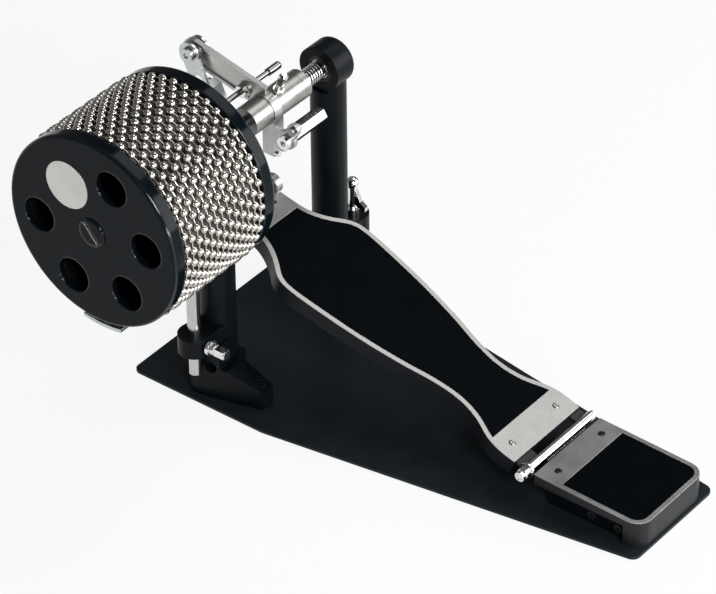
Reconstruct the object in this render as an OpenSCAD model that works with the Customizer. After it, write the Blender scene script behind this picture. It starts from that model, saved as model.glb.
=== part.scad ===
// Foot cabasa: a bead-covered drum on a pivoting axle, worked by a pedal on a steel base plate.
// The origin lies on the floor, straight under the middle of the axle.
// +X points to the heel, -Y to the drum and +Z up. Sizes are in millimetres.

/* [Base plate] */
// Distance from the axle to the front edge
plate_front = 53.6; // [50:0.1:70]
// How far the plate stands out behind the heel block
plate_lip = 1.3; // [1:0.1:6]
// Width over the parallel front part
plate_front_w = 166.9; // [160:0.1:190]
// Width at the rear edge
plate_back_w = 85.6; // [80:0.1:100]
// Length of the parallel front part
plate_straight = 107.6; // [100:0.1:130]
// Thickness of the steel sheet
plate_t = 2; // [2:0.1:4]
// Corner radius at the front
plate_front_r = 5; // [2:0.5:10]
// Corner radius at the rear
plate_back_r = 6; // [2:0.5:12]

/* [Axle and uprights] */
// Height of the axle over the floor
axle_h = 188.2; // [184:0.1:200]
// Diameter of the axle
axle_d = 7.9; // [7.4:0.1:8.4]
// Distance between the two uprights
post_spread = 117.2; // [112:0.1:124]
// Diameter of an upright
post_d = 24; // [21:0.5:26]
// Diameter of a bearing cup
cup_d = 31.5; // [28:0.5:34]
// Length of a bearing cup
cup_len = 19; // [18:0.5:24]
// Rounding of the outer edge of a cup
cup_edge_r = 3.5; // [2:0.5:5]
// Outer diameter of a ball bearing
bearing_d = 19; // [18:0.5:21]
// Width of a ball bearing
bearing_w = 6; // [5:0.5:8]

/* [Foot castings] */
// Height of the foot at its tip
foot_h = 16; // [14:0.5:18]
// Reach of the foot towards the heel
foot_reach = 42.4; // [38:0.2:48]
// Height of the foot beside the upright
ridge_h = 26.3; // [24:0.1:30]
// Distance from the upright to the rod
lug_out = 24.4; // [24.2:0.1:28]
// Diameter of the lug boss
boss_d = 22; // [18:0.5:24]
// Underside of the lug boss
boss_low = 42.3; // [40:0.1:46]
// Top of the lug boss
boss_top = 56; // [52:0.5:60]
// Diameter of the wing bolt
wing_bolt_d = 6; // [5:0.1:7]
// Diameter of the small screws and rivets
screw_d = 3; // [2.5:0.1:3.5]

/* [Drum] */
// Diameter of the end discs
disc_d = 133; // [130:0.5:140]
// Depth of an end disc over its rim
disc_rim = 9.9; // [8:0.1:12]
// Thickness of an end disc at its holes
disc_t = 4.5; // [4:0.1:6]
// Rounding of the outer rim
disc_edge_r = 2.2; // [2:0.1:4]
// Space between the near cup and the drum
drum_gap = 10; // [8:0.1:16]
// Number of bead loops side by side
loop_count = 13; // [11:1:14]
// Diameter of a bead
bead_d = 5.8; // [4.5:0.1:6.2]
// Free space between two loops
loop_gap = 0.1; // [0.1:0.05:0.6]
// How far the beads stand out over the discs
bead_proud = 1.2; // [0.8:0.1:2]
// Wall of the drum shell
shell_wall = 1.2; // [0.8:0.1:2]
// Diameter of the sound holes
sound_hole_d = 24; // [20:0.5:28]
// Distance of a sound hole from the edge of the disc
hole_in = 23.2; // [21:0.1:25]
// Angle of the first sound hole, from the heel upwards
sound_hole_turn = 6.5; // [0:0.5:15]
// Diameter of the round badge plate
badge_d = 33; // [30:0.5:39]
// Distance of the badge plate from the edge of the disc
badge_in = 32.9; // [29:0.1:34]
// Angle of the badge plate
badge_turn = 123.3; // [120:0.1:132]
// Diameter of the slotted cap on the axle end
cap_d = 20; // [18:0.5:25]

/* [Hub and rocker] */
// Diameter of the hub tube
hub_d = 20.5; // [18:0.5:22]
// Near end of the hub
hub_near = -26.5; // [-30:0.5:-20]
// Far end of the hub
hub_far = 29.4; // [28:0.2:34]
// Distance from the axle to the link pivot
arm_len = 62.2; // [60:0.1:64]
// Rise of the link pivot over the axle at rest
arm_rise = 18.12; // [15:0.01:22]
// Depth of the rocker arm
arm_deep = 17.2; // [16:0.2:21]
// Thickness of the rocker arm
arm_t = 3.8; // [3:0.1:6]
// Far face of the rocker arm
arm_face = -1.7; // [-2.5:0.1:0]
// Diameter of the drive rod
drive_rod_d = 3.8; // [3.2:0.1:5]
// Distance of the drive rod from the axle
drive_rod_r = 18.9; // [18:0.1:20.5]
// Angle of the drive rod, from the heel upwards
drive_rod_turn = 158.9; // [152:0.1:164]
// Diameter of the link pivot bolt
pivot_d = 6; // [5:0.1:7]

/* [Link] */
// Width of the link
link_w = 14; // [13:0.2:18]
// Thickness of one link plate
link_t = 2; // [1.5:0.1:2.5]
// Free space between arm and link plate
link_space = 2.1; // [1.5:0.1:2.6]
// Diameter of the round hole in the link
link_hole_d = 8; // [6:0.2:9]

/* [Return spring] */
// Mean diameter of the coil
spring_d = 11; // [10.8:0.1:12.5]
// Wire diameter
spring_wire = 1.4; // [1:0.1:1.6]
// Number of curls
spring_turns = 7; // [5:0.5:7.5]

/* [Footboard] */
// Distance from the rear edge of the board to the hinge axis
board_gap = 8.7; // [8:0.1:9.4]
// Height of that edge
board_z = 25.8; // [25:0.1:27]
// Slope of the board at rest
board_slope = 18.84; // [18:0.01:19.5]
// Depth of the side walls
board_deep = 12; // [10:0.5:14]
// Thickness of the tread
tread_t = 4; // [3.6:0.1:5]
// Thickness of side walls and ribs
board_wall = 3; // [2.5:0.1:4]
// Width of the bare rim round the grip plate
board_rim = 3.2; // [2.5:0.1:4]
// Length of the bare band at the heel end
band_len = 21.5; // [20:0.1:24]
// Distance of the toe pin from the rear edge
toe_pin_s = 250.2; // [248:0.1:252]
// Height of the toe pin over the tread
toe_pin_rise = 1.5; // [1:0.1:3]
// Diameter of the toe pin
toe_pin_d = 6; // [5:0.1:7]
// Play between link and toe pin, which takes up the curved path of the linkage
toe_play = 1.15; // [1.1:0.05:1.4]

/* [Heel] */
// Distance from the hinge axis to the heel block
heel_gap = 7; // [6.4:0.1:9]
// Length of the heel block
heel_len = 82; // [76:0.5:90]
// Width of the heel block
heel_w = 71.4; // [66:0.2:76]
// Height of its front edge
heel_h = 24; // [23.5:0.1:26]
// Fall of its top towards the rear
heel_fall = 1.9; // [0:0.1:3]
// Thickness of its deck
heel_deck = 7.6; // [7:0.1:9]
// Corner radius at the rear
heel_r = 11; // [6:0.5:16]
// Length of the rear wall that reaches the plate
heel_wall = 14; // [10:0.5:18]
// Inset of the riser block from the sides
riser_inset = 4.7; // [3:0.1:8]
// Bare band in front of the heel grip plate
heel_band = 19.6; // [17:0.1:24]
// Height of the hinge axis
hinge_h = 22; // [21.5:0.1:22.5]
// Distance from the axle to the hinge axis
hinge_x = 228.4; // [228:0.1:229]
// Diameter of the hinge barrel
barrel_d = 7; // [6.4:0.1:7.4]
// Diameter of the hinge pin
hinge_pin_d = 4; // [3:0.1:4.4]

/* [Presser] */
// Diameter of the presser rod
rod_d = 8.8; // [7.6:0.1:9]
// Lower end of the rod
rod_low = 24.3; // [20:0.1:28]
// Width of the shoe
shoe_w = 30; // [24:0.5:34]
// Thickness of the shoe
shoe_t = 2.4; // [2:0.1:4]
// Thickness of the felt pad on the shoe
pad_t = 4; // [2:0.1:5]
// Space between shoe and beads
shoe_gap = 0.4; // [0.3:0.05:1]

/* [Hidden] */
$fn = 48;

// Clearances between pieces
fit = 0.05;
run = 0.05;
face_gap = 0.2;
soft_gap = 0.3;
eps = 0.5;

// Positions that follow from the driving sizes
post_y = post_spread/2;
cup_in = post_y - cup_len/2;
cup_out = post_y + cup_len/2;
loop_pitch = bead_d + loop_gap;
drum_len = loop_count*loop_pitch;
rear_face = -cup_out - drum_gap;
rear_inner = rear_face - disc_rim;
front_inner = rear_inner - drum_len;
front_face = front_inner - disc_rim;
bead_r = disc_d/2 + bead_proud - bead_d/2;
shell_r = bead_r - bead_d/2 - soft_gap;
lug_y = post_y + lug_out;
heel_front = hinge_x + heel_gap;
heel_back = heel_front + heel_len;
plate_back = heel_back + plate_lip;
board_back = hinge_x - board_gap;
axle_bore = axle_d/2 + fit;
hub_r = hub_d/2;
arm_near = arm_face - arm_t;
pivot = [-arm_len*cos(arm_rise), axle_h + arm_len*sin(arm_rise)];
toe = [board_back - toe_pin_s*cos(board_slope) + toe_pin_rise*sin(board_slope),
    board_z + toe_pin_s*sin(board_slope) + toe_pin_rise*cos(board_slope)];
link_dir = toe - pivot;
link_len = norm(link_dir);
link_turn = atan2(link_dir[1], link_dir[0]);
link_near = arm_near - link_space - link_t;
link_far = arm_face + link_space + link_t;
rod_x = drive_rod_r*cos(drive_rod_turn);
rod_z = axle_h + drive_rod_r*sin(drive_rod_turn);
spring_near = hub_far + soft_gap;
bearing_seat = 0.5;
spring_far = cup_in + bearing_seat - soft_gap;

// Corner rounding of an outline: each corner gives an arc
function unit(v) = v/norm(v);
function arc_corner(a, p, b, r, n) =
    let (u = unit(a - p), w = unit(b - p))
    let (half = acos(u*w)/2)
    let (c = p + unit(u + w)*r/sin(half))
    let (s = p + u*r/tan(half) - c, e = p + w*r/tan(half) - c)
    let (from = atan2(s[1], s[0]), turn = (atan2(e[1], e[0]) - from + 540)%360 - 180)
    [for (k = [0:n]) c + r*[cos(from + turn*k/n), sin(from + turn*k/n)]];
function rounded(pts, radii, n = 6) =
    let (m = len(pts))
    [for (i = [0:m - 1]) each radii[i] > 0
        ? arc_corner(pts[(i + m - 1)%m], pts[i], pts[(i + 1)%m], radii[i], n) : [pts[i]]];

// Smooth curve through a row of points
function curve_point(a, b, c, d, t) =
    0.5*(2*b + (c - a)*t + (2*a - 5*b + 4*c - d)*t*t + (3*b - a - 3*c + d)*t*t*t);
function smooth(pts, n) =
    let (m = len(pts))
    concat([for (i = [0:m - 2], k = [0:n - 1])
        curve_point(pts[max(i - 1, 0)], pts[i], pts[i + 1], pts[min(i + 2, m - 1)], k/n)], [pts[m - 1]]);

// Side curve of the footboard: distance from the rear edge, half width
board_side = [[0, 35], [12, 35.2], [24, 33], [40, 26], [56, 23.2], [75, 25], [100, 30.8], [130, 36],
    [160, 39.4], [184, 41], [196, 38.6], [208, 29.4], [220, 22.9], [234, 20.4], [262, 19]];
board_curve = smooth(board_side, 4);
function inset_curve(d) =
    let (m = len(board_curve))
    [for (i = [0:m - 1])
        let (t = unit(board_curve[min(i + 1, m - 1)] - board_curve[max(i - 1, 0)]))
        board_curve[i] + d*[t[1], -t[0]]];
function mirrored(pts) = [for (i = [len(pts) - 1:-1:0]) [pts[i][0], -pts[i][1]]];
board_len = board_side[len(board_side) - 1][0];
board_half = max([for (p = board_side) p[1]]);

// Bars and rings along the axes
module rod_y(r, y0, y1) {
    translate([0, y0, 0]) rotate([-90, 0, 0]) cylinder(r = r, h = y1 - y0);
}
module ring_y(r, bore, y0, y1) {
    difference() {
        rod_y(r, y0, y1);
        rod_y(bore, y0 - eps, y1 + eps);
    }
}
module rod_x_axis(r, x0, x1) {
    translate([x0, 0, 0]) rotate([0, 90, 0]) cylinder(r = r, h = x1 - x0);
}
module slab_xz(y0, y1) {
    translate([0, y1, 0]) rotate([90, 0, 0]) linear_extrude(y1 - y0) children();
}
module at_axle() {
    translate([0, 0, axle_h]) children();
}
module on_board() {
    translate([board_back, 0, board_z]) rotate([0, 0, 180]) rotate([0, -board_slope, 0]) children();
}
module at_hinge() {
    translate([hinge_x, 0, hinge_h]) children();
}
module hex_y(flats, y0, y1) {
    translate([0, y0, 0]) rotate([-90, 0, 0]) cylinder(r = flats/sqrt(3), h = y1 - y0, $fn = 6);
}

// Base plate and the screws that come up through it
screw_shank_d = screw_d + 1;
screw_head_d = 3*screw_d;
foot_screw_xy = [[26, post_y + 4], [0, post_y + 15.8]];
riser_x0 = heel_front + 8;
riser_x1 = heel_back - heel_wall - face_gap;
riser_half = heel_w/2 - riser_inset;
heel_screw_xy = [[riser_x0 + 10, riser_half - 9], [riser_x1 - 10, riser_half - 9]];
plate_screw_xy = concat(foot_screw_xy, heel_screw_xy);
screw_len = 12;
module plate_outline() {
    near = [[-plate_front, -plate_front_w/2], [plate_straight - plate_front, -plate_front_w/2],
        [plate_back, -plate_back_w/2]];
    polygon(rounded(concat(near, mirrored(near)),
        [plate_front_r, 20, plate_back_r, plate_back_r, 20, plate_front_r]));
}
module at_plate_screws() {
    for (p = plate_screw_xy, side = [-1, 1]) translate([p[0], side*p[1], 0]) children();
}
module screw_bores() {
    at_plate_screws() translate([0, 0, -eps]) cylinder(d = screw_shank_d + 2*fit, h = screw_len + 1);
}
module base_plate() {
    color("#17181a") difference() {
        linear_extrude(plate_t) plate_outline();
        screw_bores();
        at_plate_screws() translate([0, 0, -fit])
            cylinder(d1 = screw_head_d + 2*fit, d2 = screw_shank_d + 2*fit, h = plate_t);
    }
}
module plate_screws() {
    color("#b9bbbd") at_plate_screws() {
        cylinder(d = screw_shank_d, h = screw_len);
        translate([0, 0, fit]) cylinder(d1 = screw_head_d - 6*fit, d2 = screw_shank_d, h = plate_t - 3*fit);
    }
}

// Foot castings: tapering foot, socket for the upright, web with its set-screw hole and lug
socket_d = post_d + 6;
web_half = 6.4;
web_out = lug_out - rod_d/2 - 0.4;
web_hole = [6.4, 26.3];
web_hole_d = 8.4;
web_hole_deep = 5;
foot_far = -3;
foot_tip_near = 8;
foot_mid = [20, 14.5];
foot_slope_x = 18.5;
foot_edge_x = -4;
web_x = 13;
foot_screw = [foot_reach - 5, 2];
foot_screw_z = foot_h - 3;
module foot_outline() {
    pts = [[-13, -12], [12, -12], [foot_slope_x, foot_far], [foot_reach, foot_far],
        [foot_reach, foot_tip_near], foot_mid, [foot_edge_x, web_out], [-9, web_out], [-13, 12]];
    polygon(rounded(pts, [3, 2, 2, 1, 1, 0, 1, 2, 4]));
}
module web_outline() {
    polygon([[-web_half, 0], [post_d/2 - 0.6, 0], [web_x, wall_y(web_x) - 0.1],
        [foot_edge_x + 1, wall_y(foot_edge_x + 1) - 0.1], [-web_half, web_out - 0.5]]);
}
function wall_y(x) = foot_mid[1] + (foot_mid[0] - x)*(web_out - foot_mid[1])/(foot_mid[0] - foot_edge_x);
module foot_casting(bore_d) {
    wall = boss_d/2 - 0.5;
    translate([0, post_y, 0]) difference() {
        union() {
            intersection() {
                translate([0, 0, plate_t]) linear_extrude(ridge_h) foot_outline();
                slab_xz(-boss_d, lug_out) polygon([[-15, plate_t - 1], [foot_reach + 1, plate_t - 1],
                    [foot_reach + 1, foot_h], [foot_reach - 1, foot_h], [foot_slope_x, ridge_h],
                    [-15, ridge_h]]);
            }
            translate([0, 0, plate_t]) cylinder(d = socket_d, h = foot_h);
            translate([0, 0, plate_t]) linear_extrude(boss_low + 2 - plate_t) web_outline();
            translate([-wall, 0, boss_low]) cube([2*wall, lug_out, boss_top - boss_low]);
            translate([0, lug_out, boss_low]) cylinder(d = boss_d, h = boss_top - boss_low);
        }
        translate([0, 0, plate_t - eps]) cylinder(d = post_d + 2*fit, h = boss_top);
        translate([0, lug_out, boss_low - eps]) cylinder(d = bore_d, h = boss_top - boss_low + 2*eps);
        translate([web_hole[0], wall_y(web_hole[0]), web_hole[1]])
            rod_y(web_hole_d/2, -web_hole_deep, web_hole_deep);
        translate([foot_screw[0], foot_screw[1], foot_screw_z]) {
            cylinder(d = screw_d + 2*fit, h = 4);
            translate([0, 0, 3 - fit]) cylinder(d = 2*screw_d, h = foot_h);
        }
    }
}
clamp_z = 49.8;
clamp_d = 5;
module near_foot() {
    color("#1c1d20") mirror([0, 1, 0]) difference() {
        foot_casting(rod_d + 2*run);
        screw_bores();
        translate([0, lug_y, clamp_z]) rod_x_axis(clamp_d/2 + run, 0, boss_d);
    }
}
module far_foot() {
    color("#1c1d20") difference() {
        foot_casting(wing_bolt_d + 2*run);
        screw_bores();
    }
}
module foot_screws() {
    color("#2a2b2e") for (side = [0, 1]) mirror([0, side, 0])
        translate([foot_screw[0], post_y + foot_screw[1], foot_screw_z]) difference() {
            union() {
                translate([0, 0, 0.3]) cylinder(d = screw_d, h = 3);
                translate([0, 0, 3]) cylinder(d = screw_d + 2, h = 1.6);
            }
            translate([0, 0, 3.6]) cylinder(d = 0.9*screw_d, h = 2, $fn = 6);
        }
}

// Uprights with their bearing cups
post_low = plate_t + face_gap;
module cup_profile() {
    r = cup_d/2;
    e = cup_edge_r;
    difference() {
        union() {
            square([r - e, cup_len]);
            square([r, cup_len - e]);
            translate([r - e, cup_len - e]) circle(e);
        }
        translate([-1, -1]) square([bearing_d/2 + fit + 1, bearing_w + bearing_seat + 1]);
    }
}
module upright(through) {
    shaft_r = axle_d/2 + 1;
    cup_low = axle_h - cup_d/2;
    difference() {
        union() {
            translate([0, post_y, post_low]) cylinder(d = post_d, h = cup_low - post_low);
            intersection() {
                translate([0, post_y, cup_low - 1]) cylinder(d = post_d, h = axle_h - bearing_d/2 - cup_low);
                translate([-post_d, cup_in + 0.4, 0]) cube([2*post_d, cup_len - 0.8, axle_h]);
            }
            translate([0, cup_in, axle_h]) rotate([-90, 0, 0]) rotate_extrude() cup_profile();
        }
        at_axle() rod_y(bearing_d/2 + fit, cup_in - 2*eps, cup_in + bearing_w + bearing_seat);
        at_axle() rod_y(shaft_r, cup_in, through ? cup_out + eps : cup_out - 3);
    }
}
module near_post() {
    color("#1a1b1e") mirror([0, 1, 0]) upright(true);
}
module far_post() {
    color("#1a1b1e") upright(false);
}
module axle_bearings() {
    color("#c9cbcd") for (side = [0, 1]) mirror([0, side, 0]) translate([0, cup_in + bearing_seat, axle_h]) {
        difference() {
            rod_y(bearing_d/2, 0, bearing_w - fit);
            rod_y(axle_d/2 + run, -eps, bearing_w + eps);
            ring_y(bearing_d/2 - 1.8, axle_d/2 + 1.6, -eps, 0.6);
        }
    }
}

// Return spring: one round wire wound about the axle
rings_per_curl = 8;
wire_sides = 6;
spring_rings = spring_turns*rings_per_curl;
spring_rise = (spring_far - spring_near - spring_wire)/spring_turns;
function coil_turn(i) = 360*i/rings_per_curl;
function coil_centre(i) =
    let (a = coil_turn(i))
    [spring_d/2*cos(a), spring_near + spring_wire/2 + spring_rise*i/rings_per_curl, spring_d/2*sin(a)];
function coil_along(i) =
    let (a = coil_turn(i))
    unit([-PI*spring_d*sin(a), spring_rise, PI*spring_d*cos(a)]);
function wire_ring(centre, along, a) =
    let (out = [cos(a), 0, sin(a)], side = cross(along, out))
    [for (k = [0:wire_sides - 1])
        centre + spring_wire/2*(cos(360*k/wire_sides)*out + sin(360*k/wire_sides)*side)];
flat_start = [0, 0, 1];
spring_last = spring_rings;
spring_first_out = coil_centre(0) - spring_wire*flat_start;
spring_last_out = coil_centre(spring_last) + spring_wire*
    [-sin(coil_turn(spring_last)), 0, cos(coil_turn(spring_last))];
spring_points = concat(
    wire_ring(spring_first_out, flat_start, 0),
    [for (i = [0:spring_last]) each wire_ring(coil_centre(i), coil_along(i), coil_turn(i))],
    wire_ring(spring_last_out, [-sin(coil_turn(spring_last)), 0, cos(coil_turn(spring_last))],
        coil_turn(spring_last)));
spring_sections = spring_last + 3;
function wire_faces(n, m) = concat(
    [for (k = [1:m - 2]) [0, k, k + 1]],
    [for (i = [0:n - 2], k = [0:m - 1]) each
        [[i*m + k, (i + 1)*m + k, (i + 1)*m + (k + 1)%m],
        [i*m + k, (i + 1)*m + (k + 1)%m, i*m + (k + 1)%m]]],
    [for (k = [1:m - 2]) [(n - 1)*m, (n - 1)*m + k + 1, (n - 1)*m + k]]);
spring_least_gap = min([for (i = [0:spring_last - rings_per_curl/2])
    for (j = [i + rings_per_curl/2:spring_last])
        norm(coil_centre(i) - coil_centre(j)) - spring_wire]);
echo(spring_least_gap_mm = spring_least_gap);
module return_spring() {
    color("#d9dadb") at_axle() polyhedron(spring_points, wire_faces(spring_sections, wire_sides));
}

// Heel block on its riser
grip_sink = 1.8;
grip_t = 1.3;
heel_rim = 3.2;
leaf_t = 2;
module heel_outline(inset) {
    h = heel_w/2 - inset;
    near = [[heel_front + inset, -h], [heel_back - inset, -h]];
    r = heel_r - inset;
    polygon(rounded(concat(near, mirrored(near)), [0.6, r, r, 0.6]));
}
module heel_tilt() {
    translate([heel_front, 0, heel_h]) rotate([0, heel_fall, 0])
        translate([-heel_front, 0, -heel_h]) children();
}
module heel_leaf_slot(g) {
    translate([hinge_x, leaf_y0 - g, hinge_h - leaf_drop - g])
        cube([heel_leaf_end - hinge_x + g, leaf_y1 - leaf_y0 + 2*g, leaf_t + 2*g]);
}
heel_leaf_end = heel_front + heel_band - 4;
leaf_y0 = -15.8;
leaf_y1 = 24.8;
pin_y = 23.5;
heel_pin_x = heel_front + 10;
module heel_block() {
    color("#8d8f91") difference() {
        translate([0, 0, plate_t]) linear_extrude(heel_h) heel_outline(0);
        heel_tilt() translate([heel_front - 10, -heel_w, heel_h])
            cube([heel_back - heel_front + 20, 2*heel_w, heel_h]);
        translate([heel_front - 1, -heel_w, plate_t - 1])
            cube([heel_back - heel_wall - heel_front + 1, 2*heel_w, heel_h - heel_deck - plate_t + 1]);
        heel_tilt() translate([0, 0, heel_h - grip_sink]) linear_extrude(heel_h) intersection() {
            heel_outline(heel_rim);
            translate([heel_front + heel_band, -heel_w]) square([heel_back, 2*heel_w]);
        }
        heel_leaf_slot(fit);
        heel_pin_bores();
    }
}
module heel_riser() {
    top = heel_h - heel_deck;
    color("#131416") difference() {
        translate([riser_x0, -riser_half, plate_t]) cube([riser_x1 - riser_x0, 2*riser_half, top - plate_t]);
        screw_bores();
        for (p = side_screw_xz, side = [-1, 1]) translate([p[0], side*riser_half, p[1]])
            rod_y(side_screw_d/2 + fit, -side_screw_len, side_screw_len);
    }
}
side_screw_d = screw_d;
side_screw_len = 6;
side_screw_in = [heel_len*0.476, heel_len*0.232];
side_screw_xz = [[heel_back - side_screw_in[0], 11], [heel_back - side_screw_in[1], 10]];
module heel_screws() {
    color("#c4c6c8") for (p = side_screw_xz, side = [0, 1]) mirror([0, side, 0])
        translate([p[0], riser_half, p[1]]) difference() {
            union() {
                rod_y(side_screw_d/2, -side_screw_len + 0.3, fit);
                rod_y(side_screw_d, fit, 3);
            }
            hex_y(0.8*side_screw_d, 1.4, 4);
        }
}
module heel_grip() {
    color("#101113") heel_tilt() translate([0, 0, heel_h - grip_sink])
        linear_extrude(grip_t) intersection() {
        heel_outline(heel_rim + face_gap);
        translate([heel_front + heel_band + face_gap, -heel_w]) square([heel_back, 2*heel_w]);
    }
}

// Rivets with a slotted head
rivet_d = screw_d;
rivet_head_d = screw_d + 2;
rivet_head_h = 0.7;
module rivet(depth) {
    difference() {
        union() {
            translate([0, 0, -depth]) cylinder(d = rivet_d, h = depth + fit);
            translate([0, 0, fit]) cylinder(d1 = rivet_head_d, d2 = rivet_head_d - 1.2, h = rivet_head_h);
        }
        translate([-rivet_head_d, -0.3, 0.45]) cube([2*rivet_head_d, 0.6, 1]);
    }
}
module heel_pin_bores() {
    heel_tilt() for (side = [-1, 1]) translate([heel_pin_x, side*pin_y, heel_h - heel_deck - 1])
        cylinder(d = rivet_d + 2*fit, h = heel_h);
}
module heel_pins() {
    color("#7b7c7e") heel_tilt() for (side = [-1, 1])
        translate([heel_pin_x, side*pin_y, heel_h]) rivet(heel_deck - 1.5);
}

// Hinge between footboard and heel: two leaves, knuckles, pin, washer and nut
leaf_drop = barrel_d/2 - 0.15;
barrel_near = 3.2 - heel_w/2;
barrel_far = heel_w/2 + 0.3;
module heel_leaf() {
    color("#dcddde") difference() {
        union() {
            heel_leaf_slot(0);
            at_hinge() rod_y(barrel_d/2, leaf_y0, leaf_y1);
        }
        at_hinge() rod_y(hinge_pin_d/2 + run, leaf_y0 - 1, leaf_y1 + 1);
        heel_pin_bores();
    }
}
hinge_s = (board_back - hinge_x)*cos(board_slope) + (hinge_h - board_z)*sin(board_slope);
hinge_n = (hinge_x - board_back)*sin(board_slope) + (hinge_h - board_z)*cos(board_slope);
leaf_low = hinge_n - leaf_drop;
leaf_half = board_side[0][1] - board_wall - soft_gap;
leaf_len = band_len - 2.2;
tab_step = 0.3;
module board_leaf() {
    near_from = face_gap - leaf_y0 + tab_step;
    near_to = -barrel_near - tab_step;
    far_from = leaf_y1 + face_gap + tab_step;
    far_to = barrel_far - tab_step;
    color("#dcddde") difference() {
        union() {
            on_board() translate([0, 0, leaf_low]) linear_extrude(leaf_t) polygon([
                [hinge_s, near_from], [hinge_s, near_to], [-face_gap, near_to], [-face_gap, leaf_half],
                [leaf_len, leaf_half], [leaf_len, -leaf_half], [-face_gap, -leaf_half], [-face_gap, -far_to],
                [hinge_s, -far_to], [hinge_s, -far_from], [1, -far_from], [1, near_from]]);
            at_hinge() rod_y(barrel_d/2, barrel_near, leaf_y0 - face_gap);
            at_hinge() rod_y(barrel_d/2, leaf_y1 + face_gap, barrel_far);
        }
        at_hinge() rod_y(hinge_pin_d/2 + run, barrel_near - 1, barrel_far + 1);
        on_board() for (side = [-1, 1]) translate([board_pin_s, side*pin_y, -board_deep])
            cylinder(d = rivet_d + 2*fit, h = board_deep + 1);
    }
}
module hinge_pin() {
    color("#d4d5d6") at_hinge() {
        rod_y(hinge_pin_d/2, barrel_near - 9, barrel_far + 0.3);
        rod_y(hinge_pin_d/2 + 1, barrel_far + 0.3, barrel_far + 2);
    }
}
washer_t = 1;
module hinge_washer() {
    color("#e0e1e2") at_hinge() ring_y(5.6, hinge_pin_d/2 + fit, barrel_near - face_gap - washer_t,
        barrel_near - face_gap);
}
module hinge_nut() {
    y1 = barrel_near - face_gap - washer_t - fit;
    color("#d8d9da") at_hinge() difference() {
        union() {
            hex_y(7.6, y1 - 5, y1);
            rod_y(3.4, y1 - 8, y1 - 5);
        }
        rod_y(hinge_pin_d/2 + fit, y1 - 9, y1 + 1);
    }
}

// Footboard: an open-backed casting with ribs, a grip plate let into its tread and a forked toe
board_pin_s = 10.5;
spacer_r = toe_pin_d/2 + 1.6;
ear_r = 7;
ear_in = 16.5;
ear_out = 22;
slot_half = 11.5;
slot_s = toe_pin_s - 12;
grip_end = 227;
toe_wall = toe_pin_s - 20;
rib_pitch = 34;
module board_shape(inset, s0, s1) {
    intersection() {
        polygon(concat(inset_curve(inset), mirrored(inset_curve(inset))));
        translate([s0, -board_half]) square([s1 - s0, 2*board_half]);
    }
}
module board_hollow() {
    difference() {
        translate([0, 0, -board_deep - 1]) linear_extrude(board_deep + 1 - tread_t)
            board_shape(board_wall, -1, toe_wall);
        for (s = [band_len + 1:rib_pitch:toe_wall - rib_pitch/2])
            translate([s, -board_half, -board_deep - 2]) cube([board_wall, 2*board_half, board_deep + 2]);
        translate([0, -board_wall/2, -board_deep - 2]) cube([board_len, board_wall, board_deep + 2]);
    }
}
module footboard() {
    fork_t = board_deep - 2;
    color("#a9abad") on_board() difference() {
        union() {
            translate([0, 0, -board_deep]) linear_extrude(board_deep) board_shape(0, 0, toe_wall + 5);
            translate([0, 0, -fork_t]) linear_extrude(fork_t) board_shape(0, toe_wall, board_len);
            for (side = [-1, 1]) translate([toe_pin_s, 0, toe_pin_rise])
                rod_y(ear_r, side < 0 ? -ear_out : ear_in, side < 0 ? -ear_in : ear_out);
        }
        board_hollow();
        translate([-1, -leaf_half - face_gap, -board_deep - 1])
            cube([leaf_len + 1.5, 2*(leaf_half + face_gap), board_deep + 1 + leaf_low + leaf_t + fit]);
        translate([0, 0, -grip_sink]) linear_extrude(grip_sink + 1)
            board_shape(board_rim, band_len, grip_end);
        translate([slot_s, -slot_half, -board_deep - 1]) cube([board_len, 2*slot_half, 2*board_deep]);
        translate([toe_pin_s, 0, toe_pin_rise]) {
            rod_y(toe_pin_d/2 + fit, -ear_out - 1, ear_out + 1);
            rod_y(spacer_r + soft_gap, -ear_in, ear_in);
        }
        for (side = [-1, 1]) translate([board_pin_s, side*pin_y, -board_deep])
            cylinder(d = rivet_d + 2*fit, h = board_deep + 1);
    }
}
module board_grip() {
    color("#101113") on_board() translate([0, 0, -grip_sink]) linear_extrude(grip_t)
        board_shape(board_rim + face_gap, band_len + face_gap, grip_end - face_gap);
}
module board_pins() {
    color("#9a9c9e") on_board() for (side = [-1, 1]) translate([board_pin_s, side*pin_y, 0]) rivet(4.2);
}
module at_toe() {
    translate([toe[0], 0, toe[1]]) children();
}
module toe_pin() {
    color("#3a3b3e") at_toe() rod_y(toe_pin_d/2, -ear_out - 2.4, ear_out + 2.4);
}
module toe_clips() {
    color("#2b2c2f") at_toe() for (side = [0, 1]) mirror([0, side, 0])
        ring_y(spacer_r, toe_pin_d/2 + fit, ear_out + face_gap, ear_out + face_gap + 1.2);
}
module toe_spacers() {
    color("#c8cacc") at_toe() {
        ring_y(spacer_r, toe_pin_d/2 + fit, -ear_in + face_gap, link_near - face_gap);
        ring_y(spacer_r, toe_pin_d/2 + fit, link_far + face_gap, ear_in - face_gap);
    }
}

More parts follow.
